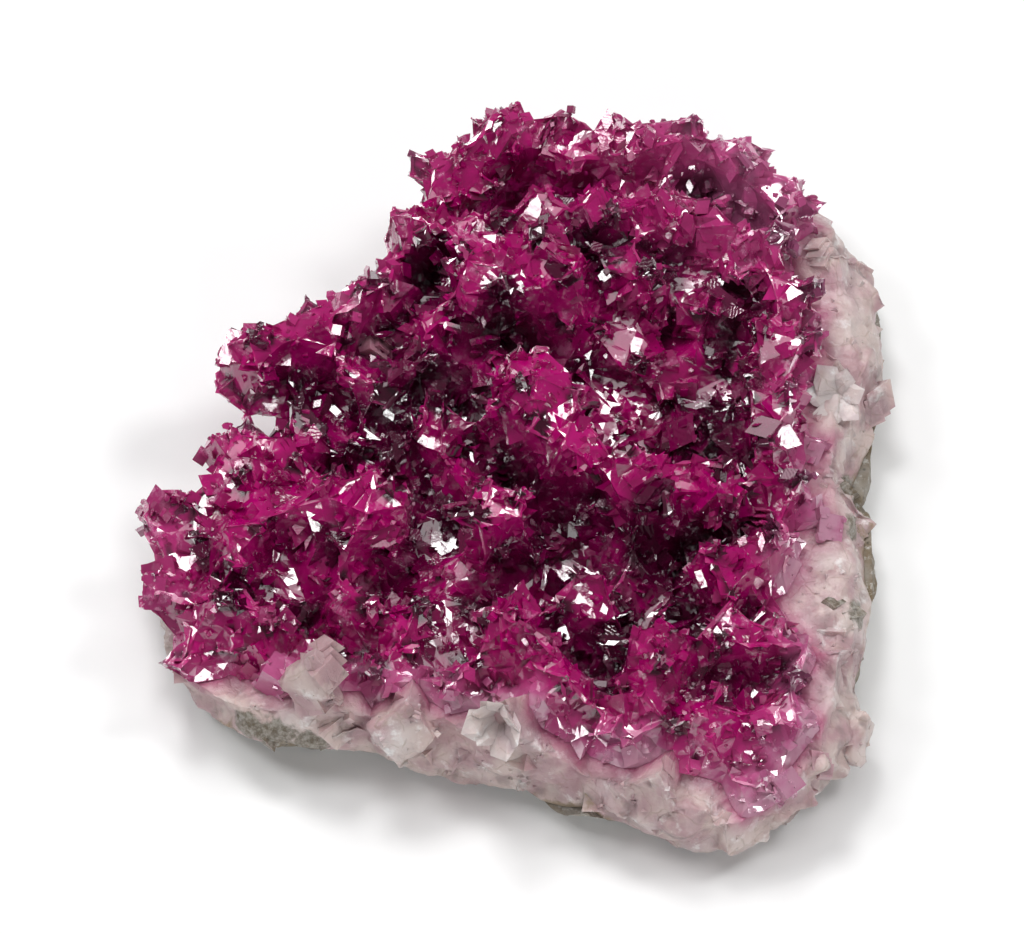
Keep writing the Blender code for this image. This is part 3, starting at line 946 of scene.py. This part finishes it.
def mark_open(piece: bpy.types.Object, neighbours: tuple, gap: float) -> None:
    """Marks with "open" the faces that don't look down or lie against a neighbour or the ground.

    Args:
        piece: the piece to mark.
        neighbours: search trees of what it may lie against.
        gap: how near counts as lying against, in metres.
    """
    values = []
    for face in piece.data.polygons:
        hidden = face.center.z < NEAR_GROUND or face.normal.z < LOOKS_DOWN
        for tree in neighbours:
            place, normal = tree.find_nearest(face.center, gap)[:2]
            hidden = hidden or (place is not None and normal.dot(face.normal) < FACES_NEIGHBOUR)
        values.append(0.0 if hidden else 1.0)
    store(piece.data, "open", values, domain="FACE")


@dataclass
class Druse:
    """The magenta crust: a bed of lumps and wedges, with three generations of crystals grown on it.

    Lengths are in millimetres, angles in degrees. Sheltered places get painted shade; the hollows get more
    of it, open valleys are cleared of it and the faded corner paled, each given as x, y and radius, and
    each as much as its share says. On a steep side or a thin tip, crystals keep at least that share of
    their width. The rim away from the faded side fades by the unfaded share alone. Broad and small patches
    are those of the colour's unevenness.
    """

    SECTOR = 6.0

    node: str = "roselite_druse"
    inset: float = 0.9
    gap: float = 0.35
    rays: int = 24
    ray_lift: float = 0.5
    ray_reach: float = 12.0
    lump_reach: float = 1.8
    least_on_side: float = 0.45
    least_on_tip: float = 0.45
    # Spots of extra painted shade, and open valleys where that painted shade is lifted; each is x, y and
    # radius.
    shaded_hollows: tuple = ((21.5, 6.0, 6.0), (14.1, -11.8, 5.0), (-2.0, 14.0, 3.6), (-14.0, 2.0, 4.0))
    open_valleys: tuple = ((3.0, 35.5, 5.5), (13.0, 35.5, 5.5), (-6.0, 33.0, 4.0))
    rim_start: float = 0.80
    fade_reach: float = 4.0
    faded_corner: tuple = (28.0, 37.0, 12.02)
    faded_side: float = -55.0
    hollow_shade_share: float = 0.95
    valley_share: float = 0.75
    corner_share: float = 0.6
    unfaded_share: float = 0.32
    broad_patch: float = 7.0
    small_patch: float = 2.2
    finish: DruseFinish = field(default_factory=DruseFinish)

    def build(self, tree: GrowthTree, band: bpy.types.Object) -> list[bpy.types.Object]:
        """Makes the bed and grows the layers.

        Args:
            tree: the node tree that grows them.
            band: the calcite under the druse.

        Returns:
            The pieces.
        """
        material = self.finish.material()
        under = tree_of(band)
        relief = ((1.7, 0.16), (0.7, 0.07))
        bed = Bed(self.node, "druse_bed", 1.4, relief, self.inset, inside=True).build((under,))
        bed.data.materials.append(material)
        self.mark(bed, under)
        mark_open(bed, (under,), self.gap * MM)
        mixed = (Habit.RHOMB, Habit.RHOMB, Habit.STEPPED, Habit.SHEAF)
        coarse = CrystalSet("coarse", mixed, variants=4, seed=3, rooted=-0.42)
        mixed = (Habit.RHOMB, Habit.STEPPED, Habit.BLADE)
        medium = CrystalSet("medium", mixed, variants=4, seed=6, rooted=-0.18)
        fine = CrystalSet("fine", (Habit.RHOMB, Habit.TOOTH), variants=3, seed=4, rooted=-0.02)
        layers = (
            Layer(
                "druse_large_crystals", coarse, spacing=2.1, smallest=2.4, largest=5.4, tilt=24, spin=180,
                follow_lump=0.8, seed=5,
            ),
            Layer(
                "druse_medium_crystals", medium, spacing=1.2, smallest=0.8, largest=2.1, tilt=30,
                spin=180, follow_lump=0.4, parallel=1.0, bare_share=0.35, patch=4.0, seed=6,
            ),
            Layer(
                "druse_fine_crystals", fine, spacing=0.7, smallest=0.3, largest=0.8, tilt=20, spin=90,
                follow_lump=0.0, parallel=1.0, bare_share=0.55, patch=2.4, seed=7,
            ),
        )
        return grow_all(tree, bed, layers, material, stacked=True)

    def mark(self, bed: bpy.types.Object, band: BVHTree) -> None:
        """Stores on the bed what steers growth and colour: "out", "room", "deep", "pale" and "tone";
        "deep" holds the painted shade of sheltered places, which also lowers "tone".

        Args:
            bed: the bed.
            band: search tree of the calcite under it.
        """
        verts = bed.data.vertices
        nearby = KDTree(len(verts))
        for vert in verts:
            nearby.insert(vert.co, vert.index)
        nearby.balance()
        reach = {}
        for vert in verts:
            sector = int(math.degrees(math.atan2(vert.co.y, vert.co.x)) // self.SECTOR)
            reach[sector] = max(reach.get(sector, 0.0), math.hypot(vert.co.x, vert.co.y))
        skin, sky = tree_of(frame["nodes"][self.node]), self.sky()
        out, room, deep_and_shade, pale, tone = [], [], [], [], []
        for vert in verts:
            around = nearby.find_range(vert.co, self.lump_reach * MM)
            lean = sum((verts[index].normal for _, index, _ in around), Vector())
            out.append(lean.normalized() if lean.length > 1e-6 else vert.normal.copy())
            agree = skin.find_nearest(vert.co)[1].dot(vert.normal)
            thick = limited((agree + 0.2) / 0.6, self.least_on_tip)
            upward = limited((out[-1].z + 0.15) / 0.6)
            room.append(thick * (self.least_on_side + (1.0 - self.least_on_side) * upward))
            # How sheltered a place is becomes painted shade: more of it in the listed hollows, less in the
            # open valleys.
            shut = self.shelter(vert.co, out[-1], skin, sky)
            for hollow in self.shaded_hollows:
                shut = max(shut, self.hollow_shade_share * self.nearness(vert.co, hollow))
            for valley in self.open_valleys:
                shut *= 1.0 - self.valley_share * self.nearness(vert.co, valley)
            deep_and_shade.append(shut)
            under = band.find_nearest(vert.co)[3] / (self.fade_reach * MM)
            pale.append(self.paleness(vert.co, reach, max(1.0 - under, 0.0)))
            broad = noise.noise(vert.co / (self.broad_patch * MM))
            small = noise.noise(vert.co / (self.small_patch * MM))
            # Random patches of tone, lowered by the painted shade of sheltered places.
            tone.append(limited(0.85 - 1.1 * shut + 0.7 * broad + 0.5 * small))
        store(bed.data, "out", out, "FLOAT_VECTOR")
        for name, values in (("room", room), ("deep_and_shade", deep_and_shade), ("pale", pale), ("tone", tone)):
            store(bed.data, name, values)

    @staticmethod
    def nearness(place: Vector, spot: tuple) -> float:
        """How near a place is to a round spot on the plan.

        Args:
            place: the place, in metres.
            spot: the spot's x, y and radius, in millimetres.

        Returns:
            1 at its middle, falling smoothly to 0.
        """
        x, y, radius = spot
        away = math.hypot(place.x / MM - x, place.y / MM - y) / radius
        return math.exp(-away * away)

    def sky(self) -> list[Vector]:
        """Directions spread over the half of the sky around +Z, densest overhead.

        Returns:
            The directions.
        """
        directions = []
        for number in range(self.rays):
            flat = math.sqrt((number + 0.5) / self.rays)
            turn = number * math.pi * (3.0 - math.sqrt(5.0))
            rise = math.sqrt(1.0 - flat * flat)
            directions.append(Vector((flat * math.cos(turn), flat * math.sin(turn), rise)))
        return directions

    def shelter(self, place: Vector, out: Vector, skin: BVHTree, sky: list[Vector]) -> float:
        """How much of the sky over a place the crust itself shuts off.

        Args:
            place: a place on the bed.
            out: the way out of the crust there.
            skin: a search tree of the solid crust.
            sky: the directions to look in, around +Z.

        Returns:
            0 in the open to 1 in a closed cleft.
        """
        turn = Vector((0, 0, 1)).rotation_difference(out).to_matrix()
        start = place + out * (self.inset + self.ray_lift) * MM
        shut = [skin.ray_cast(start, turn @ ray, self.ray_reach * MM)[0] is not None for ray in sky]
        return sum(shut) / len(shut)

    def paleness(self, place: Vector, reach: dict, touch: float) -> float:
        """How far the crust has faded at a place, most on the right and front rim and in the far corner.

        Args:
            place: the place.
            reach: the crust's radius in each sector.
            touch: how near the calcite is, up to 1 where they touch.

        Returns:
            0 for full magenta to 1 for dusty pink.
        """
        angle = math.degrees(math.atan2(place.y, place.x))
        share = math.hypot(place.x, place.y) / reach[int(angle // self.SECTOR)]
        rise = limited((share - self.rim_start) / (1.0 - self.rim_start))
        facing = max(0.0, math.cos(math.radians(angle - self.faded_side)))
        side = self.unfaded_share + (1.0 - self.unfaded_share) * facing
        corner = self.nearness(place, self.faded_corner)
        return min((rise * rise + touch * rise) * side + self.corner_share * corner, 1.0)


@dataclass
class PaleRosette:
    """A rosette of pale, clear plates on the calcite. Lengths are in millimetres, angles in degrees."""

    name: str
    across: float
    up: float
    width: float
    plates: int
    lean: float
    thickness: float
    seed: int

    def build(self, surface: BVHTree, studio: "Studio", finish: bpy.types.Material) -> bpy.types.Object:
        """Grows the rosette where the camera sees it.

        Args:
            surface: search tree of the calcite.
            studio: the studio, whose camera looks along the ray to the rosette's place.
            finish: the calcite's material.

        Returns:
            The rosette.
        """
        rng = random.Random(self.seed)
        place, normal = studio.spot(surface, self.across, self.up)
        facing = (normal + studio.view()[0]).normalized().to_track_quat("Z", "Y").to_matrix().to_4x4()
        shape = bmesh.new()
        for number in range(self.plates):
            turn = Matrix.Rotation(math.tau * (number + rng.uniform(-0.2, 0.2)) / self.plates, 4, "Z")
            lean = Matrix.Rotation(math.radians(self.lean * rng.uniform(0.7, 1.2)), 4, "Y")
            size = rng.uniform(0.5, 0.72)
            middle = Vector((0, 0, size * 0.45))
            corners = CrystalSet.rhomb(shape, middle, size, 1.2, (self.thickness, 1.0))
            matrix = turn @ Matrix.Translation((0.16, 0, 0)) @ lean
            bmesh.ops.transform(shape, matrix=matrix, verts=corners)
        matrix = Matrix.Translation(place) @ facing @ Matrix.Scale(self.width * MM, 4)
        bmesh.ops.transform(shape, matrix=matrix, verts=shape.verts)
        mesh = meshed(shape, self.name)
        store(mesh, "tone", [1.0] * len(mesh.vertices))
        mesh.materials.append(finish)
        return shown(self.name, mesh)


@dataclass
class Calcite:
    """The pale band, with cleavage blocks and small points grown on its open side.

    Lengths are in millimetres. Each thin patch of rock showing through is given by how far right of the
    picture's middle and above it the camera sees it, and by its reach.
    """

    node: str = "calcite_band"
    gap: float = 0.9
    flush_reach: float = 3.2
    smoke_reach: float = 2.2
    tone_patch: float = 3.5
    rock_films: tuple = (
        (-28.0, -27.0, 2.4), (-24.5, -28.2, 2.8), (-21.0, -29.0, 2.2),
        (35.9, -2.6, 2.2), (36.3, -6.6, 2.0), (36.5, -15.4, 1.8), (9.0, -36.4, 1.8),
    )
    finish: CalciteFinish = field(default_factory=CalciteFinish)
    rosettes: tuple = (
        PaleRosette("pale_flower", -1.3, -26.0, 5.4, plates=7, lean=38.0, thickness=0.24, seed=21),
        PaleRosette("white_plates", 35.0, 7.4, 4.6, plates=6, lean=68.0, thickness=0.14, seed=22),
    )

    def build(
        self, tree: GrowthTree, studio: "Studio", druse: bpy.types.Object, rock: bpy.types.Object
    ) -> list[bpy.types.Object]:
        """Makes the band and grows its blocks.

        Args:
            tree: the node tree that grows them.
            studio: the studio, for where the rosettes and films of rock are seen.
            druse: the crust above it.
            rock: the rock below it.

        Returns:
            The pieces.
        """
        material = self.finish.material()
        facets = ((6.0, 1.3), (2.6, 0.75), (1.3, 0.25))
        relief = ((1.5, 0.10), (0.6, 0.05))
        beside = (tree_of(druse), tree_of(rock))
        band = Bed(self.node, "calcite_body", 0.8, relief, 0.2, facets, rounding=2).build(beside)
        band.data.materials.append(material)
        self.mark(band, *beside, studio)
        mark_open(band, beside, self.gap * MM)
        mixed = (Habit.RHOMB, Habit.STEPPED)
        blocks = CrystalSet("calcite blocks", mixed, variants=4, seed=8, rooted=-0.48)
        layers = (
            Layer(
                "calcite_blocks", blocks, spacing=3.0, smallest=2.0, largest=5.0, tilt=16, spin=90,
                follow_lump=0.8, bare_share=0.40, patch=6.0, seed=9,
            ),
            Layer(
                "calcite_points", blocks, spacing=1.0, smallest=0.5, largest=1.5, tilt=20, spin=90,
                follow_lump=0.1, bare_share=0.60, patch=3.0, seed=10,
            ),
        )
        pieces = grow_all(tree, band, layers, material, stacked=False)
        surface = tree_of(band)
        return pieces + [rosette.build(surface, studio, material) for rosette in self.rosettes]

    def mark(self, band: bpy.types.Object, druse: BVHTree, rock: BVHTree, studio: "Studio") -> None:
        """Stores "out", "flush" near the druse, "low" near the rock, "filmed" and "tone".

        Args:
            band: the band.
            druse: search tree of the crust.
            rock: search tree of the rock.
            studio: the studio, for where the films of rock are seen.
        """
        verts, surface = band.data.vertices, tree_of(band)
        seen = [(studio.spot(surface, *where)[0], reach * MM) for *where, reach in self.rock_films]
        films = [(spot, reach) for spot, reach in seen if spot is not None]
        flush, low, tone, film_and_sheen = [], [], [], []
        for vert in verts:
            near = druse.find_nearest(vert.co)[3]
            under = rock.find_nearest(vert.co)[3]
            flush.append(limited(1.0 - near / (self.flush_reach * MM)) ** 1.5)
            film_and_sheen.append(max(math.exp(-((vert.co - spot).length / reach) ** 2) for spot, reach in films))
            low.append(limited(1.0 - under / (self.smoke_reach * MM)))
            tone.append(0.5 + 0.8 * noise.noise(vert.co / (self.tone_patch * MM)))
        store(band.data, "out", [vert.normal.copy() for vert in verts], "FLOAT_VECTOR")
        store(band.data, "room", [1.0] * len(verts))
        for name, values in (("flush", flush), ("low", low), ("film_and_sheen", film_and_sheen), ("tone", tone)):
            store(band.data, name, values)


@dataclass
class HostRock:
    """The thin skin of rock under everything, flat where it rests."""

    node: str = "host_rock"
    finish: RockFinish = field(default_factory=RockFinish)

    def build(self, band: bpy.types.Object) -> list[bpy.types.Object]:
        """Makes the rock.

        Args:
            band: the calcite above it.

        Returns:
            Its one piece.
        """
        relief, facets = ((3.0, 0.5), (1.6, 0.3)), ((4.0, 0.9), (1.8, 0.5))
        bed = Bed(self.node, "host_rock_body", 0.9, relief, 0.3, facets, rounding=2)
        rock = bed.build((tree_of(band),))
        rock.data.materials.append(self.finish.material())
        return [rock]


@dataclass
class Softbox:
    """A square studio light. Angles are in degrees, lengths in metres."""

    name: str
    azimuth: float
    elevation: float
    distance: float
    side: float
    power: float

    def build(self, target: Vector) -> None:
        """Hangs the light, turned to the target.

        Args:
            target: the point it lights.
        """
        light = bpy.data.lights.new(self.name, "AREA")
        light.shape = "SQUARE"
        light.size = self.side
        light.energy = self.power
        lamp = shown(self.name, light)
        turn, rise = math.radians(self.azimuth), math.radians(self.elevation)
        flat = math.cos(rise)
        away = Vector((math.sin(turn) * flat, math.cos(turn) * flat, math.sin(rise)))
        lamp.location = target + away * self.distance
        lamp.rotation_euler = away.to_track_quat("Z", "Y").to_euler()


@dataclass
class Studio:
    """The pale floor, the soft lights and the camera above the front."""

    target: Vector = field(default_factory=lambda: Vector((-0.0006, -0.0014, 0.013)))
    elevation: float = 58.0
    distance: float = 0.5446
    lens: float = 180.0
    world_light: float = 0.10
    lights: tuple = (
        Softbox("back softbox", -20.0, 58.0, 0.75, 0.22, 2.1),
        Softbox("left softbox", -75.0, 50.0, 0.80, 0.22, 1.8),
        Softbox("right softbox", 70.0, 52.0, 0.80, 0.20, 1.6),
        Softbox("front softbox", 165.0, 30.0, 0.90, 0.24, 2.3),
        Softbox("overhead sheet", 15.0, 80.0, 0.90, 0.60, 2.1),
    )

    def build(self) -> None:
        """Sets up the whole studio."""
        scene = bpy.context.scene
        scene.view_settings.view_transform = "Standard"
        scene.cycles.max_bounces = 6
        scene.cycles.diffuse_bounces = 2
        scene.cycles.glossy_bounces = 3
        scene.cycles.transmission_bounces = 5
        self.hang_camera()
        for light in self.lights:
            light.build(self.target)
        world = bpy.data.worlds.new("studio")
        scene.world = world
        world.use_nodes = True
        background = world.node_tree.nodes["Background"]
        background.inputs["Color"].default_value = (1.0, 1.0, 1.0, 1.0)
        background.inputs["Strength"].default_value = self.world_light
        self.lay_floor()

    def view(self) -> tuple[Vector, Vector]:
        """The ways towards the camera and up in its picture.

        Returns:
            Both as unit vectors.
        """
        rise = math.radians(self.elevation)
        level, steep = math.cos(rise), math.sin(rise)
        return Vector((0.0, -level, steep)), Vector((0.0, steep, level))

    def spot(self, surface: BVHTree, across: float, up: float) -> tuple[Vector | None, Vector | None]:
        """The place on a surface that the camera sees at a point of its picture.

        Args:
            surface: search tree of what it looks at.
            across: how far right of the picture's middle, in millimetres.
            up: how far above it.

        Returns:
            The place and the surface's normal there, or nothing twice where it isn't seen.
        """
        away, upward = self.view()
        start = self.target + Vector((across, 0, 0)) * MM + upward * up * MM + away * 0.2
        return surface.ray_cast(start, -away)[:2]

    def hang_camera(self) -> None:
        """Places the camera at the photograph's viewing angle."""
        away = self.view()[0]
        data = bpy.data.cameras.new("camera")
        data.lens = self.lens
        data.sensor_width = 36.0
        data.clip_start = 0.01
        camera = shown("camera", data)
        camera.location = self.target + away * self.distance
        camera.rotation_euler = away.to_track_quat("Z", "Y").to_euler()
        bpy.context.scene.camera = camera

    def lay_floor(self) -> None:
        """Lays the pale floor, flush with the specimen's flat cut."""
        shape = bmesh.new()
        bmesh.ops.create_grid(shape, x_segments=1, y_segments=1, size=1.6)
        floor = shown("floor", meshed(shape, "floor"))
        material, board, shader = new_material("floor paper")
        paper = {"Base Color": (0.93, 0.93, 0.93, 1.0), "Roughness": 0.9, "Specular IOR Level": 0.1}
        board.feed(shader, paper)
        floor.data.materials.append(material)


def hand_over(pieces: list[bpy.types.Object], node: str) -> None:
    """Lets pieces ride on the specimen and stand for their solid.

    Args:
        pieces: the finished pieces.
        node: the solid that they stand for.
    """
    for piece in pieces:
        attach(piece, "root")
        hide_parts(node)
        piece.data.calc_loop_triangles()
        LOG.info("%s: %d triangles", piece.name, len(piece.data.loop_triangles))


def main() -> None:
    """Builds the studio, then the specimen's three materials from the rock up."""
    logging.basicConfig(level=logging.INFO, format="%(name)s: %(message)s")
    noise.seed_set(NOISE_SEED)
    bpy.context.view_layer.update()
    studio = Studio()
    studio.build()
    tree = GrowthTree()
    nodes = frame["nodes"]
    hand_over(HostRock().build(nodes["calcite_band"]), "host_rock")
    hand_over(Calcite().build(tree, studio, nodes["roselite_druse"], nodes["host_rock"]), "calcite_band")
    hand_over(Druse().build(tree, nodes["calcite_band"]), "roselite_druse")


if __name__ == "__main__":
    main()
